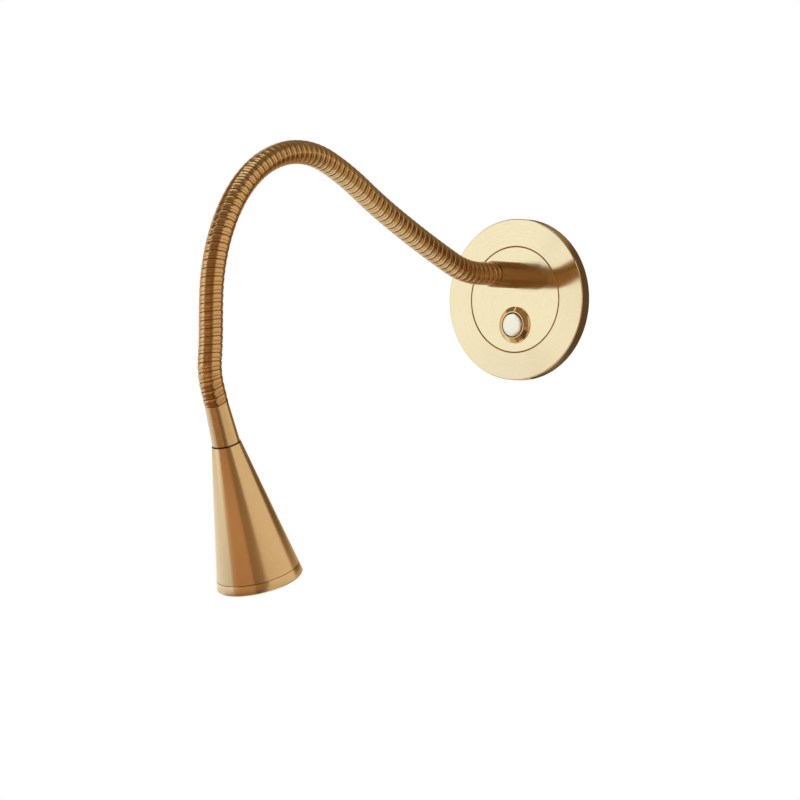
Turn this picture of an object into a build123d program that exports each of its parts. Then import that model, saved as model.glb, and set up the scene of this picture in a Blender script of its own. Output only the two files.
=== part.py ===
from build123d import *
import os
from math import cos, radians, sin, sqrt

# Bedside wall reading lamp: a round rose with a push switch, a ribbed gooseneck that stays where
# it is bent, and a small conical LED head. Its driver sits in a cup that sinks into the wall.
# Sizes are in millimetres. The wall is the plane y = 0, the lamp stands out from it towards -Y,
# +Z is up and +X is to the right of someone who faces the lamp. A height is a distance off the
# wall, and pieces behind the wall's surface have negative heights.

# Rose: the outer ring on the wall, whose face rises a little from its edge to the groove.
ROSE_R = 40.0
RIM_HEIGHT = 6.0
FACE_RISE = 0.5
RIM_ROUNDING = 0.4
ROSE_WALL = 1.6
ROSE_ROOF = 1.1
GROOVE_CHAMFER = 0.2

# Face disc: carries the neck and the switch, and drops into the rose.
DISC_R = 26.1
DISC_THICKNESS = 2.0
SPIGOT_DEPTH = 1.0
LEDGE_WIDTH = 3.25
SEAT_GAP = 0.25
SEAT_WALL = 1.0

# Back plate: steel disc that clamps the face disc to the rose's ledge.
BACK_THICKNESS = 1.5
BACK_LAP = 1.3

# Wall bracket: flat steel ring with two slots and two turned-up ears for the grub screws.
BRACKET_THICKNESS = 1.5
BRACKET_GAP = 0.5
BRACKET_ROSE_GAP = 0.3
SLOT_SPACING = 60.0
SLOT_LENGTH = 7.5
SLOT_WIDTH = 4.0
EAR_WIDTH = 9.0
EAR_THICKNESS = 1.5
EAR_HEIGHT = 4.6
GRUB_R = 1.25
GRUB_LENGTH = 4.6
GRUB_HEIGHT = 2.9
GRUB_SUNK = 0.6
GRUB_SOCKET_R = 0.65
GRUB_SOCKET_DEPTH = 1.3

# Fits shared by several pieces.
SCREW_FIT = 0.05
HOLE_CLEARANCE = 0.1
RUNNING_FIT = 0.05

# Neck collar: a plain turned sleeve with a threaded nipple through the face.
COLLAR_R = 6.55
COLLAR_LENGTH = 19.5
COLLAR_UP = 12.0
COLLAR_CHAMFER = 0.3
SOCKET_DEPTH = 7.0
NIPPLE_R = 5.0
NIPPLE_BELOW_WALL = 7.0
NIPPLE_BORE_R = 3.0
COLLAR_WASHER_R = 7.5
COLLAR_WASHER_THICKNESS = 1.0
COLLAR_NUT_FLATS = 14.0
COLLAR_NUT_THICKNESS = 3.0

# Gooseneck: links of the ribbed hose. Each stretch is its parts of the neck's length and the turn
# it makes upward, in degrees. Together they follow the neck from the collar, over the arch, down
# to the head.
NECK_LENGTH = 332.0
STRETCHES = [
    (12, 0.0),
    (24, 20.5),
    (54, 3.5),
    (28, 4.0),
    (30, -8.5),
    (80, -67.5),
    (52, -39.0),
    (14, -3.5),
    (16, 6.5),
    (14, -28.5),
    (8, 0.0),
]
LINKS = 12
RIBS_PER_LINK = 7
CREST_R = 5.75
ROOT_R = 5.2
HOSE_BORE_R = 4.0
RIB_GROOVE = 1.2
RIB_STEP = 0.12
LEAD_R = 2.5

# Push switch: a polished bezel on a threaded barrel, with the button running inside it.
SWITCH_DOWN = 12.7
BEZEL_R = 9.15
BEZEL_EDGE = 0.45
BEZEL_HEIGHT = 2.3
BEZEL_LIP_R = 6.75
BARREL_R = 8.0
BARREL_BELOW_WALL = 9.0
BUTTON_R = 5.7
BUTTON_GAP = 0.5
BUTTON_PROUD = 2.8
BUTTON_TRAVEL = 1.5
BUTTON_CAP_DEPTH = 6.1
BUTTON_EDGE = 0.3
BUTTON_SKIRT = 1.0
BUTTON_ROOF = 1.8
STEM_R = 2.5
BARREL_STEP_HEIGHT = 0.5
BARREL_WALL = 1.1
SWITCH_WASHER_R = 9.6
SWITCH_WASHER_THICKNESS = 0.8
SWITCH_NUT_FLATS = 18.0
SWITCH_NUT_THICKNESS = 3.0
GUIDE_DEPTH = 6.5
CHAMBER_R = 5.5
SWITCH_BODY_LENGTH = 16.5
CARRIER_R = 4.6
CARRIER_LENGTH = 4.7
BRIDGE_LENGTH = 9.0
BRIDGE_WIDTH = 2.6
BRIDGE_THICKNESS = 0.6
CONTACT_GAP = 0.05
TERMINAL_WIDTH = 3.0
TERMINAL_THICKNESS = 0.6
TERMINAL_PAD = 2.2
TERMINAL_APART = 6.4
TERMINAL_TAG = 3.4
SPRING_R = 3.3
SPRING_WIRE_R = 0.3
SPRING_TURNS = 5

# Driver cup behind the face, and what it holds.
CUP_WALL = 1.5
CUP_DEPTH = 24.0
CUP_BACK_GAP = 0.1
BOSS_R = 3.2
BOSS_DEPTH = 12.0
BOSS_LAP = 0.1
CUP_SCREW_R = 1.25
CUP_SCREW_LENGTH = 9.0
CUP_SCREW_HEAD_R = 2.4
CUP_SCREW_HEAD_DEPTH = 1.15
BOARD_R = 21.0
BOARD_THICKNESS = 1.6
BOARD_DEPTH = 16.0
BOARD_SWITCH_GAP = 1.2
PILLAR_R = 2.4
PILLAR_APART = 24.0
PILLAR_UP = 14.0
BOARD_SCREW_R = 1.0
BOARD_SCREW_HEAD_R = 1.9
BOARD_SCREW_HEAD_HEIGHT = 1.3
BOARD_SCREW_LENGTH = 6.0
TRANSFORMER_WIDTH = 11.0
TRANSFORMER_HEIGHT = 10.5
TRANSFORMER_CORE = 7.0
TRANSFORMER_STEP = 2.0
TRANSFORMER_SIDE = 10.6
TRANSFORMER_UP = 3.0
CAPACITOR_R = 4.0
CAPACITOR_HEIGHT = 11.0
CAPACITOR_ROUNDING = 0.5
CAPACITOR_SIDE = 10.5
CAPACITOR_UP = 3.0
BLOCK_LENGTH = 10.0
BLOCK_WIDTH = 8.0
BLOCK_HEIGHT = 5.8
BLOCK_WAYS = 2
BLOCK_HOLE_R = 1.3
BLOCK_SIDE = 13.0
BLOCK_DOWN = 9.5
GROMMET_HOLE_R = 3.5
GROMMET_NECK_R = 4.6
GROMMET_FLANGE_R = 5.8
GROMMET_FLANGE = 1.2
GROMMET_SIDE = 13.0
GROMMET_DOWN = 9.0

# Head: sizes along its own axis, from the end of the hose to the mouth.
FERRULE_LENGTH = 20.0
FERRULE_TOP_R = 5.6
FERRULE_END_R = 6.65
SEAM_R = 7.0
SEAM_CHAMFER = 0.2
FERRULE_STUD_LENGTH = 8.0
FERRULE_BOSS_R = 4.0
FERRULE_BOSS_LENGTH = 6.0
FERRULE_BORE_R = 2.8
SHADE_LENGTH = 64.4
SHADE_WALL = 1.2
SHADE_NECK = 8.0
RIM_LENGTH = 5.0
MOUTH_R = 20.9
MOUTH_ROUNDING = 0.8
RIM_SPIGOT = 2.0
RIM_SPIGOT_WALL = 0.6
RIM_LIP = 1.2
RIM_LIP_WIDTH = 0.7
LENS_THICKNESS = 2.4
LENS_DOME = 0.8
LENS_BAND = 1.5
HEAD_GAP = 0.1
REFLECTOR_WALL = 0.6
REFLECTOR_LENGTH = 25.0
REFLECTOR_THROAT_R = 4.6
LED_BOARD_R = 9.0
LED_BOARD_THICKNESS = 1.5
LED_WIDTH = 6.1
LED_EMITTER_R = 2.85
LED_THICKNESS = 1.0
SINK_LENGTH = 16.0
SINK_FINS = 4
SINK_FIN_DEPTH = 2.6

# Places that follow from the sizes above.
face_height = RIM_HEIGHT + FACE_RISE
ledge_top = face_height - DISC_THICKNESS
ledge_bottom = ledge_top - SPIGOT_DEPTH
ledge_r = DISC_R - LEDGE_WIDTH + SEAT_GAP
seat_r = DISC_R + SEAT_GAP
back_r = ledge_r + BACK_LAP
back_bottom = ledge_bottom - BACK_THICKNESS
bracket_inner_r = back_r + BRACKET_GAP
bracket_outer_r = ROSE_R - ROSE_WALL - BRACKET_ROSE_GAP
collar_top = face_height + COLLAR_LENGTH
link_length = NECK_LENGTH / LINKS
stretch_part = NECK_LENGTH / sum(parts for parts, turn in STRETCHES)
rib_pitch = link_length / RIBS_PER_LINK
button_top = face_height + BUTTON_PROUD
button_bore_r = BUTTON_R + BUTTON_GAP
guide_bottom = BARREL_STEP_HEIGHT - GUIDE_DEPTH
switch_bottom = BARREL_STEP_HEIGHT - SWITCH_BODY_LENGTH
carrier_bottom = guide_bottom - CONTACT_GAP - CARRIER_LENGTH
bridge_bottom = carrier_bottom - BRIDGE_THICKNESS
pad_top = bridge_bottom - BUTTON_TRAVEL - CONTACT_GAP
cup_r = back_r - CUP_BACK_GAP
boss_side = cup_r - CUP_WALL + BOSS_LAP - BOSS_R
cup_bottom = back_bottom - CUP_DEPTH
cup_floor = cup_bottom + CUP_WALL
board_top = back_bottom - BOARD_DEPTH
board_bottom = board_top - BOARD_THICKNESS
board_edge = BARREL_R + BOARD_SWITCH_GAP - SWITCH_DOWN
terminal_end = switch_bottom - TERMINAL_TAG
head_length = FERRULE_LENGTH + SHADE_LENGTH + RIM_LENGTH
shade_end = FERRULE_LENGTH + SHADE_LENGTH
lens_bottom = head_length - RIM_LIP
lens_top = lens_bottom - LENS_THICKNESS
led_board_bottom = lens_top - REFLECTOR_LENGTH
sink_bottom = led_board_bottom - LED_BOARD_THICKNESS


def stand(up=0.0, side=0.0):
    """A place on the wall whose Z points straight out into the room."""
    return Plane(origin=(side, 0, up), x_dir=(1, 0, 0), z_dir=(0, -1, 0))


def route(distance):
    """The place on the neck's centre line at this distance from the collar, Z along the neck."""
    out, up, heading = collar_top, COLLAR_UP, 0.0
    for parts, turn in STRETCHES:
        length = parts * stretch_part
        covered = min(max(distance, 0.0), length)
        bend = radians(turn) * covered / length
        if turn:
            radius = length / radians(turn)
            out += radius * (sin(heading + bend) - sin(heading))
            up += radius * (cos(heading) - cos(heading + bend))
        else:
            out += covered * cos(heading)
            up += covered * sin(heading)
        heading += bend
        distance -= covered
    direction = (0, -cos(heading), sin(heading))
    return Plane(origin=(0, -out, up), x_dir=(1, 0, 0), z_dir=direction)


def turned(corners):
    """A turned piece from its (radius, height) corners, spun about Z."""
    outline = Polyline(*[(radius, 0, height) for radius, height in corners], close=True)
    return revolve(make_face(outline), Axis.Z)


def rod(radius, low, high):
    """A round bar about Z between two heights."""
    return Pos(0, 0, low) * extrude(Circle(radius), high - low)


def rings(piece, radius, height):
    """The round edges of a turned piece that have this radius and height."""
    near = 0.01
    return [
        edge
        for edge in piece.edges().filter_by(GeomType.CIRCLE)
        if abs(edge.radius - radius) < near and abs(edge.center().Z - height) < near
    ]


def hex_nut(flats, bore_r, low, high):
    """A hexagon nut, with a flat facing up and one facing down."""
    blank = extrude(RegularPolygon(flats / 2, 6, major_radius=False), high - low)
    return Pos(0, 0, low) * blank - rod(bore_r, low, high)


# Rose and face
def rose():
    """The outer ring: a hollow turning with a ledge inside for the face disc."""
    roof = RIM_HEIGHT - ROSE_ROOF
    seat_outside = seat_r + SEAT_WALL
    body = turned(
        [
            (ROSE_R, 0),
            (ROSE_R, RIM_HEIGHT),
            (seat_r + GROOVE_CHAMFER, face_height),
            (seat_r, face_height - GROOVE_CHAMFER),
            (seat_r, ledge_top),
            (ledge_r, ledge_top),
            (ledge_r, ledge_bottom),
            (seat_outside, ledge_bottom),
            (seat_outside, roof),
            (ROSE_R - ROSE_WALL, roof),
            (ROSE_R - ROSE_WALL, 0),
        ]
    )
    body = fillet(rings(body, ROSE_R, RIM_HEIGHT), RIM_ROUNDING)
    for sign in (1, -1):
        body -= grub_axis(sign) * rod(GRUB_R + HOLE_CLEARANCE, 0, ROSE_R)
    return stand() * body


def grub_axis(sign):
    """The line of a grub screw, from the rose's middle out through the top or bottom edge."""
    return Plane(origin=(0, 0, GRUB_HEIGHT), x_dir=(1, 0, 0), z_dir=(0, sign, 0))


def face_disc():
    """The inner disc, chamfered at its edge to make the groove, with a spigot behind."""
    spigot_r = DISC_R - LEDGE_WIDTH
    body = turned(
        [
            (0, ledge_bottom),
            (spigot_r, ledge_bottom),
            (spigot_r, ledge_top),
            (DISC_R, ledge_top),
            (DISC_R, face_height - GROOVE_CHAMFER),
            (DISC_R - GROOVE_CHAMFER, face_height),
            (0, face_height),
        ]
    )
    return stand() * (body - neck_and_switch_holes())


def neck_and_switch_holes():
    """The two holes that the nipple and the switch barrel pass through."""
    neck_hole = Pos(0, COLLAR_UP) * rod(NIPPLE_R + HOLE_CLEARANCE, back_bottom, face_height)
    switch_hole = Pos(0, -SWITCH_DOWN) * rod(BARREL_R + HOLE_CLEARANCE, back_bottom, face_height)
    return neck_hole + switch_hole


def back_plate():
    """The steel disc behind the face, countersunk for the cup's screws."""
    body = rod(back_r, back_bottom, ledge_bottom) - neck_and_switch_holes()
    for side in (-1, 1):
        body -= Pos(side * boss_side, 0) * countersunk_screw(SCREW_FIT)
    return stand() * body


def countersunk_screw(grown=0.0):
    """A cup screw, with its head flush in the back plate's front, or the hole that it needs."""
    neck = ledge_bottom - CUP_SCREW_HEAD_DEPTH
    return turned(
        [
            (0, ledge_bottom),
            (CUP_SCREW_HEAD_R + grown, ledge_bottom),
            (CUP_SCREW_R + grown, neck),
            (CUP_SCREW_R + grown, ledge_bottom - CUP_SCREW_LENGTH - grown),
            (0, ledge_bottom - CUP_SCREW_LENGTH - grown),
        ]
    )


def wall_bracket():
    """The flat ring on the wall, with two slots for screws and two ears turned up."""
    ring = rod(bracket_outer_r, 0, BRACKET_THICKNESS)
    ears = rod(bracket_outer_r, 0, EAR_HEIGHT)
    ears -= rod(bracket_outer_r - EAR_THICKNESS, 0, EAR_HEIGHT)
    ears &= extrude(Rectangle(EAR_WIDTH, 2 * bracket_outer_r), EAR_HEIGHT)
    slot = extrude(SlotOverall(SLOT_LENGTH, SLOT_WIDTH), BRACKET_THICKNESS)
    body = ring + ears - rod(bracket_inner_r, 0, EAR_HEIGHT)
    for sign in (1, -1):
        body -= Pos(sign * SLOT_SPACING / 2, 0) * slot
        body -= grub_axis(sign) * rod(GRUB_R + SCREW_FIT, bracket_inner_r, ROSE_R)
    return stand() * body


def grub_screws():
    """Two grub screws, sunk in the rose's edge, whose tips pass through the ears."""
    outer = ROSE_R - GRUB_SUNK
    screw = rod(GRUB_R, outer - GRUB_LENGTH, outer)
    socket = extrude(RegularPolygon(GRUB_SOCKET_R, 6), GRUB_SOCKET_DEPTH)
    screw -= Pos(0, 0, outer - GRUB_SOCKET_DEPTH) * socket
    return stand() * Compound([grub_axis(sign) * screw for sign in (1, -1)])


# Collar and its nut
def collar():
    """The plain sleeve on the face, with its nipple and the socket for the hose."""
    socket_r = ROOT_R + HOLE_CLEARANCE
    body = turned(
        [
            (NIPPLE_BORE_R, -NIPPLE_BELOW_WALL),
            (NIPPLE_R, -NIPPLE_BELOW_WALL),
            (NIPPLE_R, face_height),
            (COLLAR_R, face_height),
            (COLLAR_R, collar_top - COLLAR_CHAMFER),
            (COLLAR_R - COLLAR_CHAMFER, collar_top),
            (socket_r, collar_top),
            (socket_r, collar_top - SOCKET_DEPTH),
            (NIPPLE_BORE_R, collar_top - SOCKET_DEPTH),
        ]
    )
    return stand(COLLAR_UP) * body


def collar_washer():
    """The washer between the back plate and the collar's nut."""
    low = back_bottom - COLLAR_WASHER_THICKNESS
    body = rod(COLLAR_WASHER_R, low, back_bottom)
    return stand(COLLAR_UP) * (body - rod(NIPPLE_R + HOLE_CLEARANCE, low, back_bottom))


def collar_nut():
    """The thin nut that pulls the collar down on the face."""
    high = back_bottom - COLLAR_WASHER_THICKNESS
    low = high - COLLAR_NUT_THICKNESS
    return stand(COLLAR_UP) * hex_nut(COLLAR_NUT_FLATS, NIPPLE_R + SCREW_FIT, low, high)


# Gooseneck
def loft_along(sections):
    """A tube skin through round sections, given as (distance along the neck, radius)."""
    circles = [route(distance) * Circle(radius) for distance, radius in sections]
    return loft(circles, ruled=True, clean=False)


def neck_link(number):
    """One link of the ribbed hose: broad flat ribs with narrow square grooves, and its bore."""
    start = number * link_length
    outside = [(start, ROOT_R)]
    for rib in range(RIBS_PER_LINK):
        low = start + rib * rib_pitch + RIB_GROOVE / 2
        high = start + (rib + 1) * rib_pitch - RIB_GROOVE / 2
        outside += [(low, ROOT_R), (low + RIB_STEP, CREST_R)]
        outside += [(high - RIB_STEP, CREST_R), (high, ROOT_R)]
    outside.append((start + link_length, ROOT_R))
    link = loft_along(outside) - inner_line(number, HOSE_BORE_R)
    return link + hose_tail() if number == 0 else link


def inner_line(number, radius):
    """A plain round length inside one link, such as its bore or the lead in it."""
    start = number * link_length
    stations = range(RIBS_PER_LINK + 1)
    return loft_along([(start + station * rib_pitch, radius) for station in stations])


def lamp_lead(number):
    """The lead's stretch in one link. The first starts at the driver and the last ends at the LED."""
    stretch = inner_line(number, LEAD_R)
    if number == 0:
        stretch += stand(COLLAR_UP) * rod(LEAD_R, board_top, collar_top)
    if number == LINKS - 1:
        stretch += head_place() * rod(LEAD_R, 0, sink_bottom)
    return stretch


def hose_tail():
    """The hose's plain end, which sits in the collar's socket."""
    tail = rod(ROOT_R, collar_top - SOCKET_DEPTH, collar_top)
    bore = rod(HOSE_BORE_R, collar_top - SOCKET_DEPTH, collar_top)
    return stand(COLLAR_UP) * (tail - bore)


# Push switch
def switch_bezel():
    """The polished bezel: a shallow cone on the face, over the threaded barrel."""
    inner_r = BARREL_R - BARREL_WALL
    lip = face_height + BEZEL_HEIGHT
    body = turned(
        [
            (button_bore_r, BARREL_STEP_HEIGHT),
            (inner_r, BARREL_STEP_HEIGHT),
            (inner_r, -BARREL_BELOW_WALL),
            (BARREL_R, -BARREL_BELOW_WALL),
            (BARREL_R, face_height),
            (BEZEL_R, face_height),
            (BEZEL_R, face_height + BEZEL_EDGE),
            (BEZEL_LIP_R, lip),
            (button_bore_r, lip),
        ]
    )
    return stand(-SWITCH_DOWN) * body


def switch_washer():
    """The washer under the switch nut."""
    low = back_bottom - SWITCH_WASHER_THICKNESS
    body = rod(SWITCH_WASHER_R, low, back_bottom)
    return stand(-SWITCH_DOWN) * (body - rod(BARREL_R + HOLE_CLEARANCE, low, back_bottom))


def switch_nut():
    """The nut that clamps the switch."""
    high = back_bottom - SWITCH_WASHER_THICKNESS
    low = high - SWITCH_NUT_THICKNESS
    return stand(-SWITCH_DOWN) * hex_nut(SWITCH_NUT_FLATS, BARREL_R + SCREW_FIT, low, high)


def button():
    """The button: a cap with a skirt round the spring, on a stem that runs in the body."""
    skirt_bottom = button_top - BUTTON_CAP_DEPTH
    spring_roof = button_top - BUTTON_ROOF
    stem_bottom = guide_bottom - CONTACT_GAP
    body = turned(
        [
            (0, stem_bottom),
            (STEM_R, stem_bottom),
            (STEM_R, spring_roof),
            (BUTTON_R - BUTTON_SKIRT, spring_roof),
            (BUTTON_R - BUTTON_SKIRT, skirt_bottom),
            (BUTTON_R, skirt_bottom),
            (BUTTON_R, button_top - BUTTON_EDGE),
            (BUTTON_R - BUTTON_EDGE, button_top),
            (0, button_top),
        ]
    )
    return stand(-SWITCH_DOWN) * body


def switch_body():
    """The moulded body: a guide for the stem over an open contact chamber."""
    sleeve_r = BARREL_R - BARREL_WALL - SCREW_FIT
    body = turned(
        [
            (STEM_R + RUNNING_FIT, BARREL_STEP_HEIGHT),
            (sleeve_r, BARREL_STEP_HEIGHT),
            (sleeve_r, -BARREL_BELOW_WALL),
            (BARREL_R, -BARREL_BELOW_WALL),
            (BARREL_R, switch_bottom),
            (CHAMBER_R, switch_bottom),
            (CHAMBER_R, guide_bottom),
            (STEM_R + RUNNING_FIT, guide_bottom),
        ]
    )
    return stand(-SWITCH_DOWN) * body


def contact_carrier():
    """The plastic block on the stem's end, wider than the guide so the button can't come out."""
    body = rod(CARRIER_R, carrier_bottom, guide_bottom - CONTACT_GAP)
    return stand(-SWITCH_DOWN) * body


def contact_bridge():
    """The copper bar under the carrier that joins the two terminals."""
    bar = extrude(Rectangle(BRIDGE_LENGTH, BRIDGE_WIDTH), BRIDGE_THICKNESS)
    return stand(-SWITCH_DOWN) * Pos(0, 0, bridge_bottom) * bar


def terminal_shape(grown=0.0):
    """One terminal: a blade with a solder tag behind the switch and a contact pad bent over."""
    pad_bottom = pad_top - TERMINAL_THICKNESS
    blade = Rectangle(TERMINAL_THICKNESS + 2 * grown, TERMINAL_WIDTH + 2 * grown)
    pad = Pos(TERMINAL_PAD / 2 - TERMINAL_THICKNESS / 2, 0) * Rectangle(TERMINAL_PAD, TERMINAL_WIDTH)
    solid = Pos(0, 0, terminal_end) * extrude(blade, pad_bottom - terminal_end)
    return solid + Pos(0, 0, pad_bottom) * extrude(pad, TERMINAL_THICKNESS)


def terminal_spots():
    """The two terminals' places, each with its pad turned outwards."""
    return [Rot(0, 0, turn) * Pos(TERMINAL_APART / 2, 0) for turn in (0, 180)]


def switch_terminals():
    """The two brass terminals."""
    blades = [spot * terminal_shape() for spot in terminal_spots()]
    return stand(-SWITCH_DOWN) * Compound(blades)


def switch_base():
    """The plug that closes the chamber and holds the terminals."""
    plug = rod(CHAMBER_R - SCREW_FIT, switch_bottom, pad_top - TERMINAL_THICKNESS)
    for spot in terminal_spots():
        plug -= spot * terminal_shape(SCREW_FIT)
    return stand(-SWITCH_DOWN) * plug


def helix_point(turns, low, climb):
    """A point of the spring's centre line and its direction, after this many turns."""
    angle = radians(360 * turns)
    point = Vector(SPRING_R * cos(angle), SPRING_R * sin(angle), low + climb * turns)
    run = 2 * radians(180) * SPRING_R
    along = Vector(-run * sin(angle), run * cos(angle), climb).normalized()
    return point, along


def biarc(start, start_way, end, end_way):
    """Two arcs that leave one point and reach the next in the given directions."""
    gap = end - start
    ways = start_way + end_way
    bend = 2 * (1 - start_way.dot(end_way))
    along = gap.dot(ways)
    reach = (sqrt(along * along + bend * gap.dot(gap)) - along) / bend
    before, after = start + start_way * reach, end - end_way * reach
    middle = (before + after) * 0.5
    first = TangentArc(start, middle, tangent=start_way)
    return [first, TangentArc(middle, end, tangent=(after - before).normalized())]


def button_spring():
    """The coil spring round the stem, between the body and the roof of the cap."""
    low = BARREL_STEP_HEIGHT + SPRING_WIRE_R
    high = button_top - BUTTON_ROOF - SPRING_WIRE_R
    climb = (high - low) / SPRING_TURNS
    steps = 4 * SPRING_TURNS
    arcs = []
    for step in range(steps):
        start, start_way = helix_point(step / 4, low, climb)
        end, end_way = helix_point((step + 1) / 4, low, climb)
        arcs += biarc(start, start_way, end, end_way)
    first, way = helix_point(0, low, climb)
    wire = sweep(Plane(origin=first, z_dir=way) * Circle(SPRING_WIRE_R), path=Wire(arcs))
    return stand(-SWITCH_DOWN) * wire


# Driver cup
def driver_cup():
    """The moulded cup that sinks into the wall: screw bosses, board pillars and cable hole."""
    inner_r = cup_r - CUP_WALL
    body = rod(cup_r, cup_bottom, back_bottom) - rod(inner_r, cup_floor, back_bottom)
    for side in (-1, 1):
        boss = rod(BOSS_R, back_bottom - BOSS_DEPTH, back_bottom)
        body += (Pos(side * boss_side, 0) * boss) & rod(cup_r, cup_bottom, back_bottom)
        body += Pos(side * PILLAR_APART / 2, PILLAR_UP) * rod(PILLAR_R, cup_floor, board_bottom)
    for side in (-1, 1):
        body -= Pos(side * boss_side, 0) * countersunk_screw(SCREW_FIT)
        body -= Pos(side * PILLAR_APART / 2, PILLAR_UP) * board_screw(SCREW_FIT)
    body -= Pos(GROMMET_SIDE, -GROMMET_DOWN) * rod(GROMMET_NECK_R, cup_bottom, cup_floor)
    return stand() * body


def cup_screws():
    """Two countersunk screws through the back plate into the cup's bosses."""
    spots = [Pos(side * boss_side, 0) for side in (-1, 1)]
    return stand() * Compound([spot * countersunk_screw() for spot in spots])


def board_screw(grown=0.0):
    """A small screw that holds the board to its pillar, or the hole that it needs."""
    low = board_top - BOARD_SCREW_LENGTH - grown
    shank = rod(BOARD_SCREW_R + grown, low, board_top)
    return shank + rod(BOARD_SCREW_HEAD_R, board_top, board_top + BOARD_SCREW_HEAD_HEIGHT)


def board_screws():
    """The board's two screws."""
    spots = [Pos(side * PILLAR_APART / 2, PILLAR_UP) for side in (-1, 1)]
    return stand() * Compound([spot * board_screw() for spot in spots])


def driver_board():
    """The driver board, round with a straight lower edge that clears the switch."""
    body = rod(BOARD_R, board_bottom, board_top)
    below = extrude(Rectangle(2 * BOARD_R, 2 * BOARD_R), 2 * board_bottom)
    body -= Pos(0, board_edge - BOARD_R) * below
    for side in (-1, 1):
        body -= Pos(side * PILLAR_APART / 2, PILLAR_UP) * board_screw(SCREW_FIT)
    return stand() * body


def transformer():
    """The driver's small transformer: a winding on a ferrite core."""
    winding = extrude(Rectangle(TRANSFORMER_WIDTH, TRANSFORMER_CORE), TRANSFORMER_HEIGHT)
    core_height = TRANSFORMER_HEIGHT - TRANSFORMER_STEP
    core = extrude(Rectangle(TRANSFORMER_CORE, TRANSFORMER_WIDTH), core_height)
    place = stand(TRANSFORMER_UP, -TRANSFORMER_SIDE) * Pos(0, 0, board_top)
    return place * (winding + core)


def capacitor():
    """The driver's capacitor can."""
    can = rod(CAPACITOR_R, board_top, board_top + CAPACITOR_HEIGHT)
    top = rings(can, CAPACITOR_R, board_top + CAPACITOR_HEIGHT)
    return stand(CAPACITOR_UP, CAPACITOR_SIDE) * fillet(top, CAPACITOR_ROUNDING)


def terminal_block():
    """The mains terminal block on the cup's floor, with a wire hole for each way."""
    block = extrude(Rectangle(BLOCK_LENGTH, BLOCK_WIDTH), BLOCK_HEIGHT)
    way = BLOCK_LENGTH / BLOCK_WAYS
    for number in range(BLOCK_WAYS):
        side = (number - (BLOCK_WAYS - 1) / 2) * way
        wire_way = Plane(origin=(side, -BLOCK_WIDTH / 2, BLOCK_HEIGHT / 2), z_dir=(0, 1, 0))
        block -= wire_way * rod(BLOCK_HOLE_R, 0, BLOCK_WIDTH / 2)
    return stand(-BLOCK_DOWN, -BLOCK_SIDE) * Pos(0, 0, cup_floor) * Rot(0, 0, 90) * block


def cable_grommet():
    """The rubber grommet in the cup's floor, where the mains cable would enter."""
    inside = cup_floor + GROMMET_FLANGE
    outside = cup_bottom - GROMMET_FLANGE
    body = turned(
        [
            (GROMMET_HOLE_R, outside),
            (GROMMET_FLANGE_R, outside),
            (GROMMET_FLANGE_R, cup_bottom),
            (GROMMET_NECK_R, cup_bottom),
            (GROMMET_NECK_R, cup_floor),
            (GROMMET_FLANGE_R, cup_floor),
            (GROMMET_FLANGE_R, inside),
            (GROMMET_HOLE_R, inside),
        ]
    )
    return stand(-GROMMET_DOWN, GROMMET_SIDE) * body


# Head, along its own axis from the end of the hose
def head_place():
    """The head's place: its Z runs from the end of the hose to the mouth."""
    return route(NECK_LENGTH)


def cone_r(height):
    """The outer radius of the shade and its rim at this height along the head."""
    slope = (MOUTH_R - SEAM_R) / (SHADE_LENGTH + RIM_LENGTH)
    return SEAM_R + slope * (height - FERRULE_LENGTH)


def inner_cone_r(height):
    """The shade's inner radius at this height."""
    return cone_r(height) - SHADE_WALL


def head_ferrule():
    """The tapered sleeve between hose and shade, with a stud in the hose's bore."""
    stud_r = HOSE_BORE_R - SCREW_FIT
    body = turned(
        [
            (FERRULE_BORE_R, -FERRULE_STUD_LENGTH),
            (stud_r, -FERRULE_STUD_LENGTH),
            (stud_r, 0),
            (FERRULE_TOP_R, 0),
            (FERRULE_END_R, FERRULE_LENGTH - SEAM_CHAMFER),
            (FERRULE_END_R - SEAM_CHAMFER, FERRULE_LENGTH),
            (FERRULE_BOSS_R, FERRULE_LENGTH),
            (FERRULE_BOSS_R, FERRULE_LENGTH + FERRULE_BOSS_LENGTH),
            (FERRULE_BORE_R, FERRULE_LENGTH + FERRULE_BOSS_LENGTH),
        ]
    )
    return head_place() * body


def shade():
    """The spun cone, with a solid neck that screws on the ferrule."""
    neck_end = FERRULE_LENGTH + SHADE_NECK
    bore_r = FERRULE_BOSS_R + SCREW_FIT
    body = turned(
        [
            (bore_r, FERRULE_LENGTH),
            (SEAM_R - SEAM_CHAMFER, FERRULE_LENGTH),
            (cone_r(FERRULE_LENGTH + SEAM_CHAMFER), FERRULE_LENGTH + SEAM_CHAMFER),
            (cone_r(shade_end), shade_end),
            (inner_cone_r(shade_end), shade_end),
            (inner_cone_r(neck_end), neck_end),
            (bore_r, neck_end),
        ]
    )
    return head_place() * body


def rim_spigot_r():
    """The outer radius of the rim ring's spigot where it leaves the ring."""
    return inner_cone_r(shade_end) - HEAD_GAP


def rim_bore_r():
    """The radius of the rim ring's bore, which the lens drops into."""
    return inner_cone_r(shade_end - RIM_SPIGOT) - HEAD_GAP - RIM_SPIGOT_WALL


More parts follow.
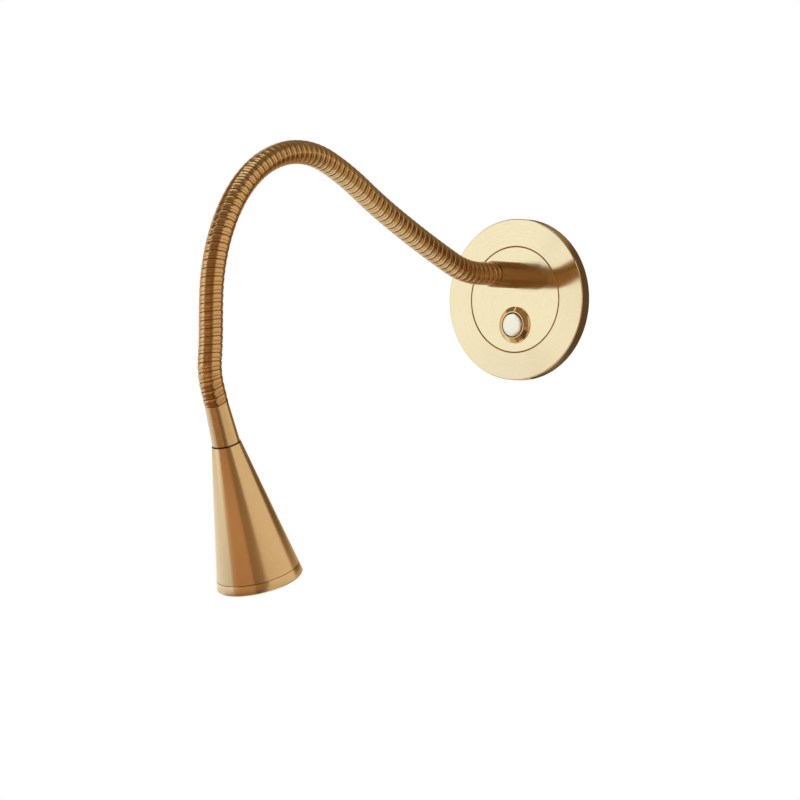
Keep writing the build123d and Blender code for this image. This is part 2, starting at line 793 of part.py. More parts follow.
def rim_ring():
    """The rim ring: carries on the cone to the mouth and holds the lens on its lip."""
    top = shade_end - RIM_SPIGOT
    body = turned(
        [
            (rim_bore_r(), top),
            (inner_cone_r(top) - HEAD_GAP, top),
            (rim_spigot_r(), shade_end),
            (cone_r(shade_end), shade_end),
            (MOUTH_R, head_length),
            (rim_bore_r() - RIM_LIP_WIDTH + RIM_LIP, head_length),
            (rim_bore_r() - RIM_LIP_WIDTH, lens_bottom),
            (rim_bore_r(), lens_bottom),
        ]
    )
    body = fillet(rings(body, MOUTH_R, head_length), MOUTH_ROUNDING)
    return head_place() * body


def lens():
    """The frosted lens, domed a little towards the LED, resting on the rim's lip."""
    lens_r = rim_bore_r() - HEAD_GAP
    cap_r = lens_r - LENS_BAND
    dome_r = (cap_r**2 + LENS_DOME**2) / (2 * LENS_DOME)
    dome = Pos(0, 0, lens_top - LENS_DOME + dome_r) * Sphere(dome_r)
    cap = rod(cap_r, lens_top - LENS_DOME, lens_bottom) & dome
    return head_place() * (rod(lens_r, lens_top, lens_bottom) + cap)


def reflector():
    """The thin reflector cone, standing on the LED board with its mouth round the lens."""
    mouth_r = rim_bore_r() - HEAD_GAP
    body = turned(
        [
            (REFLECTOR_THROAT_R, led_board_bottom),
            (REFLECTOR_THROAT_R + REFLECTOR_WALL, led_board_bottom),
            (mouth_r, lens_top),
            (mouth_r - REFLECTOR_WALL, lens_top),
        ]
    )
    return head_place() * body


def led_board():
    """The round aluminium board under the LED."""
    return head_place() * rod(LED_BOARD_R, sink_bottom, led_board_bottom)


def led_chip():
    """The LED's square carrier with its round emitter."""
    carrier = extrude(Rectangle(LED_WIDTH, LED_WIDTH), LED_THICKNESS / 2)
    emitter = rod(LED_EMITTER_R, 0, LED_THICKNESS)
    return head_place() * Pos(0, 0, led_board_bottom) * (carrier + emitter)


def heat_sink():
    """The grooved aluminium plug in the cone that takes heat from the board to the shade."""
    top = sink_bottom - SINK_LENGTH
    pitch = SINK_LENGTH / SINK_FINS
    corners = [(FERRULE_BORE_R, top)]
    for fin in range(SINK_FINS):
        low, high = top + fin * pitch, top + (fin + 1) * pitch
        middle = (low + high) / 2
        root_r = inner_cone_r(low) - HEAD_GAP - SINK_FIN_DEPTH
        corners += [(root_r, low), (root_r, middle)]
        corners += [(inner_cone_r(middle) - HEAD_GAP, middle), (inner_cone_r(high) - HEAD_GAP, high)]
    corners.append((FERRULE_BORE_R, sink_bottom))
    return head_place() * turned(corners)


def write(name, piece):
    """Writes one piece to its own file."""
    export_step(piece, f"parts/{name}.step")


os.makedirs("parts", exist_ok=True)

write("rose", rose())
write("face_disc", face_disc())
write("back_plate", back_plate())
write("wall_bracket", wall_bracket())
write("grub_screws", grub_screws())
write("collar", collar())
write("collar_washer", collar_washer())
write("collar_nut", collar_nut())
write("switch_bezel", switch_bezel())
write("switch_washer", switch_washer())
write("switch_nut", switch_nut())
write("switch_body", switch_body())
write("switch_base", switch_base())
write("switch_terminals", switch_terminals())
write("button", button())
write("button_spring", button_spring())
write("contact_carrier", contact_carrier())
write("contact_bridge", contact_bridge())
write("driver_cup", driver_cup())
write("cup_screws", cup_screws())
write("driver_board", driver_board())
write("board_screws", board_screws())
write("transformer", transformer())
write("capacitor", capacitor())
write("terminal_block", terminal_block())
write("cable_grommet", cable_grommet())
for index in range(LINKS):
    write(f"neck_link_{index + 1:02d}", neck_link(index))
    write(f"lamp_lead_{index + 1:02d}", lamp_lead(index))
write("head_ferrule", head_ferrule())
write("shade", shade())
write("rim_ring", rim_ring())
write("lens", lens())
write("reflector", reflector())
write("led_board", led_board())
write("led_chip", led_chip())
write("heat_sink", heat_sink())

for parts, turn in STRETCHES:
    if turn:
        print(f"neck bends to a radius of {abs(parts * stretch_part / radians(turn)):.0f} mm")
wire_gap = (button_top - BUTTON_ROOF - BARREL_STEP_HEIGHT) / SPRING_TURNS - 2 * SPRING_WIRE_R
print(f"spring turns lie {wire_gap:.2f} mm apart")
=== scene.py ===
# Bedside wall reading lamp: a round brass rose with a push switch, a ribbed gooseneck and a small
# conical reading head. Lengths are in metres. The wall is the plane y = 0, the lamp stands out from
# it towards -Y, +Z is up, and +X is to the right of someone who faces the lamp.
from math import cos, pi, radians, sin, tan

import bpy
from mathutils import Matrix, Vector


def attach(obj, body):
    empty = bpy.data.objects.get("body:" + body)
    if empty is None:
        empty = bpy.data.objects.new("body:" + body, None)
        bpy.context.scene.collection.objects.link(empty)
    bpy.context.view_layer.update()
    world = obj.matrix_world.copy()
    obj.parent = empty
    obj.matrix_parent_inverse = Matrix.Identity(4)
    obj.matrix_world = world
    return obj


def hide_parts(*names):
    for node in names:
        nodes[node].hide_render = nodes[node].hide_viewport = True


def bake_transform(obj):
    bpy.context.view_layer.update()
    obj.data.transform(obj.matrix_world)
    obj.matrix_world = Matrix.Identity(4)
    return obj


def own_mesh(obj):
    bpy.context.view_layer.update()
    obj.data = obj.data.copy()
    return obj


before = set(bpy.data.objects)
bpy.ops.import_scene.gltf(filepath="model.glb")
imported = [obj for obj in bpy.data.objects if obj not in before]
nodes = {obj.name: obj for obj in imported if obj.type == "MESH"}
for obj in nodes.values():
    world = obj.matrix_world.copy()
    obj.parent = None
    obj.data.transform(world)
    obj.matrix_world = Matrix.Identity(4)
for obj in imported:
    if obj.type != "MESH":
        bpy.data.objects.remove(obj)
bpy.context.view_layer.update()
bpy.ops.object.select_all(action="DESELECT")


# ---------------------------------------------------------------------------------------------
# Camera: to the right of the rose and a little below it, with a long lens, at the photograph's
# viewing angle. It aims between the rose and the head, so that the whole lamp is in the frame.
# ---------------------------------------------------------------------------------------------
FACE_HEIGHT = 0.0065
FACE_CENTRE = Vector((0, -FACE_HEIGHT, 0))
CAMERA_SIDE, CAMERA_HEIGHT = 34.5, -2.0
CAMERA_DISTANCE = 3.5
CAMERA_AIM = Vector((-0.0480, -0.0373, -0.0498))
LENS_LENGTH, SENSOR_WIDTH = 317.6, 36
NEAREST_SEEN = 0.05


def direction(side, height):
    """The way to a side and a height in degrees, where 0 and 0 is straight out of the wall."""
    side, height = radians(side), radians(height)
    return Vector((sin(side) * cos(height), -cos(side) * cos(height), sin(height)))


bpy.ops.object.camera_add(
    location=FACE_CENTRE + CAMERA_DISTANCE * direction(CAMERA_SIDE, CAMERA_HEIGHT)
)
camera = bpy.context.object
camera.name = "camera"
camera.rotation_euler = (CAMERA_AIM - camera.location).to_track_quat("-Z", "Y").to_euler()
camera.data.lens = LENS_LENGTH
camera.data.sensor_width = SENSOR_WIDTH
camera.data.clip_start = NEAREST_SEEN
bpy.context.scene.camera = camera
bpy.context.scene.view_settings.view_transform = "Standard"


# ---------------------------------------------------------------------------------------------
# Studio: white all round, a pale floor a metre below the lamp, and two soft lamps. Coloured cards
# round the lamp are there only to be mirrored in the polished metal, and show nowhere else.
# ---------------------------------------------------------------------------------------------
FLOOR_BELOW, FLOOR_SIZE = 1.0, 30
FLOOR_WHITE, FLOOR_ROUGHNESS = (0.9, 0.9, 0.9, 1), 0.8
WHITE = (1, 1, 1, 1)
SEEN_STRENGTH, LIGHTING_STRENGTH = 1.0, 0.8
ARCH_MIDDLE = Vector((0, -0.13, -0.03))

# Each card's name, its two sides and its two heights in degrees as seen from the arch, its
# distance and its colour.
CARDS = [
    ("floor_left_card", (-95, -60), (-68, -40), 0.78, (0.62, 0.42, 0.24)),
    ("floor_front_card", (-85, 20), (-70, -26), 0.8, (0.24, 0.115, 0.045)),
    ("low_front_card", (-36, 20), (-26, -6), 0.8, (0.57, 0.32, 0.165)),
    ("front_card", (-26, 20), (-6, 14), 0.8, (0.36, 0.19, 0.095)),
    ("high_front_card", (-32, 20), (14, 40), 0.8, (0.26, 0.145, 0.07)),
    ("top_front_card", (-32, 60), (40, 75), 0.8, (0.25, 0.16, 0.09)),
    ("low_camera_card", (20, 50), (-70, -24), 0.8, (0.10, 0.055, 0.025)),
    ("middle_camera_card", (20, 50), (-24, -7), 0.8, (0.36, 0.20, 0.10)),
    ("camera_card", (20, 50), (-7, 40), 0.8, (0.22, 0.13, 0.06)),
    ("left_card", (-125, -56), (-3, 31), 0.8, (0.74, 0.61, 0.49)),
    ("high_left_card", (-125, -40), (31, 60), 0.8, (0.22, 0.145, 0.075)),
    ("low_right_card", (50, 138), (-45, -4), 1.2, (0.58, 0.44, 0.30)),
    ("right_card", (50, 138), (-4, 40), 1.2, (0.77, 0.61, 0.46)),
    ("low_back_card", (138, 220), (-50, -18), 1.2, (0.34, 0.23, 0.12)),
    ("middle_back_card", (138, 220), (-18, 10), 1.2, (0.62, 0.44, 0.25)),
    ("high_back_card", (138, 220), (10, 42), 1.2, (0.26, 0.19, 0.105)),
    ("top_card", (60, 250), (42, 75), 1.3, (0.22, 0.16, 0.09)),
]
RIM_CARD_MIDDLE = (0.075, 0.04, -0.003)
RIM_CARD_WIDTH, RIM_CARD_HEIGHT = 0.19, 0.118


def node(net, kind, sockets=None, **settings):
    """Adds a shader node with its settings. A socket takes a value or another node's output."""
    added = net.nodes.new(f"ShaderNode{kind}")
    for setting, value in settings.items():
        setattr(added, setting, value)
    for socket, given in (sockets or {}).items():
        if isinstance(given, bpy.types.NodeSocket):
            net.links.new(given, added.inputs[socket])
        else:
            added.inputs[socket].default_value = given
    return added


def new_material(name):
    """A new material, its node tree and its shader."""
    made = bpy.data.materials.new(name)
    made.use_nodes = True
    return made, made.node_tree, made.node_tree.nodes["Principled BSDF"]


def soft_lamp(name, side, height, distance, size, power):
    """A rectangular soft lamp that faces the arch from this side and height."""
    way = direction(side, height)
    bpy.ops.object.light_add(type="AREA", location=ARCH_MIDDLE + distance * way)
    lamp = bpy.context.object
    lamp.name = name
    lamp.rotation_euler = (-way).to_track_quat("-Z", "Y").to_euler()
    lamp.data.shape = "RECTANGLE"
    lamp.data.size, lamp.data.size_y = size
    lamp.data.energy = power
    lamp.visible_glossy = False


def only_mirrored(board):
    """Hides a card from everything but the metal that mirrors it."""
    board.visible_camera = False
    board.visible_diffuse = False
    board.visible_shadow = False
    board.visible_transmission = False


def card(name, sides, heights, distance, colour):
    """A curved, evenly glowing card between two sides and two heights round the arch."""
    bpy.ops.object.select_all(action="DESELECT")
    bpy.ops.mesh.primitive_grid_add(x_subdivisions=12, y_subdivisions=6, size=2, location=(0, 0, 0))
    board = bpy.context.object
    board.name = name
    (left, right), (low, high) = sides, heights
    for corner in board.data.vertices:
        side = left + (right - left) * (corner.co.x + 1) / 2
        height = low + (high - low) * (corner.co.y + 1) / 2
        corner.co = ARCH_MIDDLE + distance * direction(side, height)
    made, net, _ = new_material(name)
    net.nodes.clear()
    glow = node(net, "Emission", {"Color": (*colour, 1)})
    node(net, "OutputMaterial", {0: glow.outputs[0]})
    board.data.materials.append(made)
    only_mirrored(board)
    return made


world = bpy.data.worlds.new("studio")
bpy.context.scene.world = world
world.use_nodes = True
sky = world.node_tree
sky.nodes.clear()
rays = node(sky, "LightPath").outputs
direct = node(
    sky, "Math", {0: rays["Is Camera Ray"], 1: rays["Is Transmission Ray"]}, operation="MAXIMUM"
)
shown = node(sky, "Math", {0: direct.outputs[0], 1: rays["Is Glossy Ray"]}, operation="MAXIMUM")
lighting = node(sky, "Background", {"Color": WHITE, "Strength": LIGHTING_STRENGTH})
seen = node(sky, "Background", {"Color": WHITE, "Strength": SEEN_STRENGTH})
mixed = node(sky, "MixShader", {0: shown.outputs[0], 1: lighting.outputs[0], 2: seen.outputs[0]})
node(sky, "OutputWorld", {0: mixed.outputs[0]})

bpy.ops.mesh.primitive_plane_add(size=FLOOR_SIZE, location=(0, 0, -FLOOR_BELOW))
floor = bpy.context.object
floor.name = "floor"
floor_paint, _, shader = new_material("floor_white")
shader.inputs["Base Color"].default_value = FLOOR_WHITE
shader.inputs["Roughness"].default_value = FLOOR_ROUGHNESS
floor.data.materials.append(floor_paint)

soft_lamp("key_lamp", side=-55, height=25, distance=2.0, size=(1.2, 1.2), power=14)
soft_lamp("fill_lamp", side=75, height=15, distance=2.2, size=(1.0, 1.4), power=6)
card_paints = {}
for name, sides, heights, distance, colour in CARDS:
    card_paints[name] = card(name, sides, heights, distance, colour)

# The rose's rounded edge mirrors what is behind it, so it has a card of its own there.
bpy.ops.mesh.primitive_plane_add(size=1, location=RIM_CARD_MIDDLE, rotation=(radians(90), 0, 0))
rim_card = bpy.context.object
rim_card.name = "rim_card"
rim_card.scale = (RIM_CARD_WIDTH, RIM_CARD_HEIGHT, 1)
rim_card.data.materials.append(card_paints["low_camera_card"])
only_mirrored(rim_card)


# ---------------------------------------------------------------------------------------------
# Wall bracket: a pressed ring of zinc plated steel with two slots for the wall's own screws and
# two turned-up ears. Two nickel plated grub screws in the ears hold the rose.
# ---------------------------------------------------------------------------------------------
def vary_colour(made, pattern, colour, darkest, lightest):
    """Lets a pattern carry a material's colour from one share of it to another."""
    net = made.node_tree
    dark, light = (
        (*[min(1.0, share * part) for part in colour], 1) for share in (darkest, lightest)
    )
    tone = node(net, "Mix", {"A": dark, "B": light, "Factor": pattern}, data_type="RGBA")
    net.links.new(tone.outputs["Result"], net.nodes["Principled BSDF"].inputs["Base Color"])


def vary_roughness(made, pattern, roughness, smoothest, roughest):
    """Lets a pattern carry a material's roughness from one share of it to another."""
    net = made.node_tree
    least, most = smoothest * roughness, min(1.0, roughest * roughness)
    rough = node(net, "MapRange", {"Value": pattern, "To Min": least, "To Max": most})
    net.links.new(rough.outputs[0], net.nodes["Principled BSDF"].inputs["Roughness"])


def plated_steel(name, colour, roughness, mottle):
    """Plated sheet steel with faint, uneven crystals in the plating."""
    made, net, shader = new_material(name)
    shader.inputs["Metallic"].default_value = 1.0
    spot = node(net, "TexCoord").outputs["Object"]
    crystals = node(net, "TexVoronoi", {"Vector": spot, "Scale": mottle})
    haze = node(net, "TexNoise", {"Vector": spot, "Scale": mottle / 3, "Detail": 4.0})
    vary_colour(made, crystals.outputs["Distance"], colour, darkest=0.9, lightest=1.06)
    vary_roughness(made, haze.outputs["Fac"], roughness, smoothest=0.8, roughest=1.3)
    return made


def finish_with(finish, *names):
    """Gives CAD pieces their finish."""
    for name in names:
        for place in nodes[name].material_slots:
            place.material = finish


zinc_steel = plated_steel("zinc_steel", (0.62, 0.64, 0.66), roughness=0.34, mottle=900)
nickel_steel = plated_steel("nickel_steel", (0.60, 0.58, 0.53), roughness=0.22, mottle=2500)
finish_with(zinc_steel, "wall_bracket")
finish_with(nickel_steel, "grub_screws")


# ---------------------------------------------------------------------------------------------
# Rose and face disc: turned brass, brushed in rings about the middle and lacquered. The disc
# drops into the rose, and the narrow groove between them is darkened with painted shade: a dark
# brown band in the brass and a dark ring set into the gap.
# ---------------------------------------------------------------------------------------------
OUT_OF_WALL = Vector((0, -1, 0))
ROSE_CENTRE = (0, 0, 0)
# Painted shade: the groove's band is painted this dark brown, and a dark ring fills the gap.
GROOVE_INSIDE, GROOVE_OUTSIDE = 0.02584, 0.02664
GROOVE_SHADE_BROWN = (0.48, 0.29, 0.11)
SHADE_RING_CORNERS = [(0.02612, 0.0046), (0.02633, 0.0046), (0.02633, 0.00628), (0.02612, 0.00628)]
BRUSH_STRETCH = 0.0025
BRUSHED_GLOSS = 0.9
POINT_SIZE = 0.001
MERGED_WITHIN = 0.000001


def add_relief(made, pattern, depth):
    """Raises and sinks a material's surface with a pattern, this deep at most."""
    net = made.node_tree
    relief = node(net, "Bump", {"Height": pattern, "Strength": 1.0, "Distance": depth})
    net.links.new(relief.outputs[0], net.nodes["Principled BSDF"].inputs["Normal"])


def ringed_metal(name, colour, roughness, way, centre, grain, depth):
    """Metal brushed in fine rings about an axis that runs this way through centre."""
    made, net, shader = new_material(name)
    shader.inputs["Metallic"].default_value = 1.0
    shader.inputs["Anisotropic"].default_value = BRUSHED_GLOSS
    turn = way.to_track_quat("Z", "Y").to_euler()

    # The place on the piece, as seen along its axis: out from it, round it and along it.
    spot = node(net, "TexCoord").outputs["Object"]
    upright = node(
        net,
        "Mapping",
        {"Vector": spot, "Location": centre, "Rotation": turn},
        vector_type="TEXTURE",
    )
    parts = node(net, "SeparateXYZ", {0: upright.outputs["Vector"]}, name="local").outputs
    flat = node(net, "CombineXYZ", {"X": parts["X"], "Y": parts["Y"]}).outputs[0]
    out_by = node(net, "VectorMath", {0: flat}, name="out_by", operation="LENGTH")
    round_by = node(net, "Math", {0: parts["Y"], 1: parts["X"]}, operation="ARCTAN2")
    arc = node(net, "Math", {0: round_by.outputs[0], 1: BRUSH_STRETCH}, operation="MULTIPLY")

    # Brush lines, long round the piece and fine across it.
    lay = node(
        net, "CombineXYZ", {"X": out_by.outputs["Value"], "Y": arc.outputs[0], "Z": parts["Z"]}
    )
    lines = node(
        net,
        "TexNoise",
        {"Vector": lay.outputs[0], "Scale": grain, "Detail": 3.0, "Roughness": 0.65},
    ).outputs["Fac"]
    vary_colour(made, lines, colour, darkest=0.88, lightest=1.10)
    vary_roughness(made, lines, roughness, smoothest=0.8, roughest=1.25)
    add_relief(made, lines, depth)

    # The gloss is drawn out across the lines, so its direction leads outwards and along.
    outward = node(net, "VectorMath", {0: flat}, operation="NORMALIZE")
    across = node(net, "VectorMath", {0: outward.outputs[0], 1: (0, 0, 1)}, operation="ADD")
    turned_back = node(
        net, "Mapping", {"Vector": across.outputs[0], "Rotation": turn}, vector_type="VECTOR"
    )
    posed = node(
        net,
        "VectorTransform",
        {0: turned_back.outputs[0]},
        vector_type="VECTOR",
        convert_from="OBJECT",
        convert_to="WORLD",
    )
    net.links.new(posed.outputs[0], shader.inputs["Tangent"])
    return made


def darken_between(made, measure, near, far, colour):
    """Paints shade into a ringed metal: darkens it between two distances out from its axis, or two
    heights along it.
    """
    net = made.node_tree
    base = net.nodes["Principled BSDF"].inputs["Base Color"]
    source, output = {"out": ("out_by", "Value"), "along": ("local", "Z")}[measure]
    between = node(
        net,
        "Math",
        {0: net.nodes[source].outputs[output], 1: (near + far) / 2, 2: (far - near) / 2},
        operation="COMPARE",
    )
    painted_shade = node(
        net,
        "Mix",
        {"Factor": between.outputs[0], "A": base.links[0].from_socket, "B": (*colour, 1)},
        data_type="RGBA",
    )
    net.links.new(painted_shade.outputs["Result"], base)


def drawn_line(name, corners):
    """A line drawn corner by corner, to be turned or wound into a round piece."""
    bpy.ops.object.select_all(action="DESELECT")
    bpy.ops.mesh.primitive_plane_add(size=POINT_SIZE, location=(0, 0, 0))
    line = bpy.context.object
    line.name = line.data.name = name
    for part in (line.data.polygons, line.data.edges):
        part.foreach_set("select", [False] * len(part))
    line.data.vertices.foreach_set("select", [False, True, True, True])
    first = Vector(corners[0]) - line.data.vertices[0].co
    bpy.ops.object.mode_set(mode="EDIT")
    bpy.ops.mesh.select_mode(type="VERT")
    bpy.ops.mesh.delete(type="VERT")
    bpy.ops.mesh.select_all(action="SELECT")
    bpy.ops.transform.translate(value=first)
    for here, there in zip(corners, corners[1:]):
        step = Vector(there) - Vector(here)
        bpy.ops.mesh.extrude_region_move(TRANSFORM_OT_translate={"value": step})
    bpy.ops.object.mode_set(mode="OBJECT")
    return line


def turned(name, corners, closed=True, edges=0.00012, steps=128, crease=radians(22)):
    """A turned piece: half its section, as radius and height, spun about Z with its edges eased."""
    outline = [(radius, 0, height) for radius, height in corners]
    piece = drawn_line(name, outline + outline[:1] if closed else outline)
    bpy.ops.object.mode_set(mode="EDIT")
    bpy.ops.mesh.select_all(action="SELECT")
    bpy.ops.mesh.spin(steps=steps, angle=2 * pi, center=(0, 0, 0), axis=(0, 0, 1))
    bpy.ops.mesh.select_all(action="SELECT")
    bpy.ops.mesh.remove_doubles(threshold=MERGED_WITHIN)
    bpy.ops.mesh.normals_make_consistent(inside=False)
    bpy.ops.object.mode_set(mode="OBJECT")
    eased = piece.modifiers.new("eased", "BEVEL")
    eased.width = edges
    eased.segments = 2
    eased.limit_method = "ANGLE"
    eased.angle_limit = crease
    bpy.ops.object.modifier_apply(modifier=eased.name)
    bpy.ops.object.shade_smooth_by_angle(angle=crease)
    return piece


def set_in_place(piece, middle, way, finish):
    """Puts a round piece where it belongs, its Z this way from middle, and gives it its finish."""
    piece.rotation_euler = way.to_track_quat("Z", "Y").to_euler()
    piece.location = middle
    bpy.ops.object.transform_apply(location=True, rotation=True, scale=True)
    piece.data.materials.append(finish)


# Painted light: the rose's brass is painted paler than the hose's, to stand in for the bright light
# that its face mirrors.
satin_brass = ringed_metal(
    "satin_brass",
    (0.94, 0.81, 0.53),
    roughness=0.12,
    way=OUT_OF_WALL,
    centre=ROSE_CENTRE,
    grain=1800,
    depth=0.000003,
)
# Painted shade: a dark brown band over the groove between the rose and the face disc.
darken_between(satin_brass, "out", GROOVE_INSIDE, GROOVE_OUTSIDE, GROOVE_SHADE_BROWN)
finish_with(satin_brass, "rose", "face_disc")

# Painted shade: a dark brown ring set into the groove, standing in for the shade there.
groove_shade_brass = ringed_metal(
    "groove_shade_brass",
    (0.50, 0.30, 0.11),
    roughness=0.6,
    way=OUT_OF_WALL,
    centre=ROSE_CENTRE,
    grain=2500,
    depth=0.000004,
)
shade_ring = turned("groove_shade_ring", SHADE_RING_CORNERS, edges=0.00002)
set_in_place(shade_ring, ROSE_CENTRE, OUT_OF_WALL, groove_shade_brass)
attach(shade_ring, "base")


# ---------------------------------------------------------------------------------------------
# Back plate and the nuts behind the face: a zinc plated disc that clamps the face to the rose's
# ledge, with the washers and thin nuts of the collar and the switch.
# ---------------------------------------------------------------------------------------------
finish_with(zinc_steel, "back_plate", "collar_washer", "switch_washer")
finish_with(nickel_steel, "collar_nut", "switch_nut")


# ---------------------------------------------------------------------------------------------
# Collar: a plain sleeve turned from brass bar, with a threaded nipple through the face and a
# socket in its end that the hose is pressed into.
# ---------------------------------------------------------------------------------------------
COLLAR_UP = 0.012
COLLAR_TOP = 0.026
COLLAR_CENTRE = (0, 0, COLLAR_UP)
COLLAR_CORNERS = [
    (0.0030, -0.0070),
    (0.0050, -0.0070),
    (0.0050, FACE_HEIGHT),
    (0.00655, FACE_HEIGHT),
    (0.00655, COLLAR_TOP),
    (0.0058, COLLAR_TOP),
    (0.0058, 0.0190),
    (0.0030, 0.0190),
]

# Painted shade: the collar's brass is painted darker than the hose's, to stand in for the dark
# surroundings it mirrors.
shaded_collar_brass = ringed_metal(
    "shaded_collar_brass",
    (0.52, 0.33, 0.15),
    roughness=0.24,
    way=OUT_OF_WALL,
    centre=COLLAR_CENTRE,
    grain=3200,
    depth=0.000003,
)
collar = turned("collar_sleeve", COLLAR_CORNERS)
set_in_place(collar, COLLAR_CENTRE, OUT_OF_WALL, shaded_collar_brass)
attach(collar, "base")
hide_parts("collar")


# ---------------------------------------------------------------------------------------------
# Push switch: a polished bezel turned from brass, over a threaded barrel, and a polished brass
# button on a spring. Its body is black moulding, with copper contacts inside.
# ---------------------------------------------------------------------------------------------
SWITCH_DOWN = 0.0127
SWITCH_CENTRE = (0, 0, -SWITCH_DOWN)
BEZEL_CORNERS = [
    (0.0062, 0.0005),
    (0.0069, 0.0005),
    (0.0069, -0.0090),
    (0.0080, -0.0090),
    (0.0080, FACE_HEIGHT),
    (0.00915, FACE_HEIGHT),
    (0.00915, 0.00695),
    (0.00860, 0.00735),
    (0.00720, 0.00850),
    (0.00675, 0.00880),
    (0.0062, 0.00880),
]
BUTTON_CORNERS = [
    (0, -0.00605),
    (0.0025, -0.00605),
    (0.0025, 0.0075),
    (0.0047, 0.0075),
    (0.0047, 0.0032),
    (0.0057, 0.0032),
    (0.0057, 0.00895),
    (0.0054, 0.00918),
    (0.0040, 0.00926),
    (0.0020, 0.00929),
    (0, 0.0093),
]


def moulded(name, colour, roughness, grain, depth):
    """A moulded plastic or rubber with the fine grain of its mould."""
    made, net, _ = new_material(name)
    spot = node(net, "TexCoord").outputs["Object"]
    specks = node(net, "TexNoise", {"Vector": spot, "Scale": grain, "Detail": 3.0}).outputs["Fac"]
    vary_colour(made, specks, colour, darkest=0.85, lightest=1.12)
    vary_roughness(made, specks, roughness, smoothest=0.85, roughest=1.2)
    add_relief(made, specks, depth)
    return made


polished_brass = ringed_metal(
    "polished_brass",
    (0.93, 0.70, 0.36),
    roughness=0.10,
    way=OUT_OF_WALL,
    centre=SWITCH_CENTRE,
    grain=3200,
    depth=0.000001,
)
bezel = turned("bezel_ring", BEZEL_CORNERS)
set_in_place(bezel, SWITCH_CENTRE, OUT_OF_WALL, polished_brass)
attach(bezel, "base")
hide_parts("switch_bezel")

pale_brass = ringed_metal(
    "pale_brass",
    (0.97, 0.94, 0.77),
    roughness=0.16,
    way=OUT_OF_WALL,
    centre=SWITCH_CENTRE,
    grain=3200,
    depth=0.000001,
)
cap = turned("push_button", BUTTON_CORNERS, closed=False)
set_in_place(cap, SWITCH_CENTRE, OUT_OF_WALL, pale_brass)
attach(cap, "switch_button")
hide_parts("button")

black_plastic = moulded(
    "black_plastic", (0.022, 0.022, 0.025), roughness=0.5, grain=2600, depth=0.00001
)
white_plastic = moulded(
    "white_plastic", (0.72, 0.72, 0.68), roughness=0.45, grain=2200, depth=0.000006
)
contact_copper = plated_steel("contact_copper", (0.72, 0.40, 0.24), roughness=0.3, mottle=2500)
finish_with(black_plastic, "switch_body", "switch_base")
finish_with(white_plastic, "contact_carrier")
finish_with(contact_copper, "switch_terminals", "contact_bridge")


# ---------------------------------------------------------------------------------------------
# Coil spring: five turns of plated steel wire round the button's stem. It stands on the switch's
# body and lifts the cap.
# ---------------------------------------------------------------------------------------------
SPRING_RADIUS, SPRING_WIRE, SPRING_TURNS = 0.0033, 0.0003, 5
SPRING_FOOT, SPRING_TOP = 0.0005, 0.0075
WIRE_SIDES, COIL_STEPS = 12, 32

spring_steel = plated_steel("spring_steel", (0.48, 0.48, 0.50), roughness=0.22, mottle=3000)
bpy.ops.object.select_all(action="DESELECT")
bpy.ops.mesh.primitive_circle_add(
    vertices=WIRE_SIDES,
    radius=SPRING_WIRE,
    location=(SPRING_RADIUS, 0, SPRING_FOOT + SPRING_WIRE),
    rotation=(radians(90), 0, 0),
)
spring = bpy.context.object
spring.name = spring.data.name = "coil_spring"
bpy.ops.object.transform_apply(location=True, rotation=True, scale=True)
coiling = spring.modifiers.new("coiling", "SCREW")
coiling.screw_offset = (SPRING_TOP - SPRING_FOOT - 2 * SPRING_WIRE) / SPRING_TURNS
coiling.iterations = SPRING_TURNS
coiling.steps = coiling.render_steps = COIL_STEPS
bpy.ops.object.modifier_apply(modifier=coiling.name)
bpy.ops.object.mode_set(mode="EDIT")
bpy.ops.mesh.select_all(action="SELECT")
bpy.ops.mesh.fill_holes(sides=0)
bpy.ops.mesh.normals_make_consistent(inside=False)
bpy.ops.object.mode_set(mode="OBJECT")
bpy.ops.object.shade_smooth_by_angle(angle=radians(40))
set_in_place(spring, SWITCH_CENTRE, OUT_OF_WALL, spring_steel)
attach(spring, "base")
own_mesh(spring)
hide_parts("button_spring")


# ---------------------------------------------------------------------------------------------
# Driver cup and what it holds: a black moulded cup that sinks into the wall, with the driver's
# board, transformer and capacitor, a terminal block and a rubber grommet for the mains cable.
# ---------------------------------------------------------------------------------------------
finish_with(black_plastic, "driver_cup")
finish_with(nickel_steel, "cup_screws", "board_screws")
finish_with(white_plastic, "terminal_block")

rubber_black = moulded(
    "rubber_black", (0.02, 0.02, 0.02), roughness=0.75, grain=1500, depth=0.00002
)
board_green = moulded(
    "board_green", (0.03, 0.17, 0.07), roughness=0.35, grain=1200, depth=0.000004
)
ferrite = moulded("ferrite", (0.06, 0.05, 0.045), roughness=0.6, grain=1800, depth=0.00001)
can_sleeve = moulded("can_sleeve", (0.03, 0.04, 0.08), roughness=0.3, grain=800, depth=0.000002)
finish_with(rubber_black, "cable_grommet")
finish_with(board_green, "driver_board")
finish_with(ferrite, "transformer")
finish_with(can_sleeve, "capacitor")


# ---------------------------------------------------------------------------------------------
# Gooseneck: a hose wound from brass plated steel strip, a broad crowned turn beside a narrow one,
# which holds where it is bent. It is pressed into the collar and onto the ferrule's stud.
# ---------------------------------------------------------------------------------------------
NECK_LENGTH = 0.332
HOSE_SUNK = 0.0065
HOSE_BORE = 0.0040
LINKS = 12
TURNS_PER_LINK = 7
WIND_STEPS = 32
SPARE_TURNS = 2
CUT_WITHIN = 0.0000001

# The neck's line from the collar to the head: each stretch's share of the length, and how many
# degrees it turns, up where the number is above nought.
STRETCHES = [
    (12, 0.0),
    (24, 20.5),
    (54, 3.5),
    (28, 4.0),
    (30, -8.5),
    (80, -67.5),
    (52, -39.0),
    (14, -3.5),
    (16, 6.5),
    (14, -28.5),
    (8, 0.0),
]
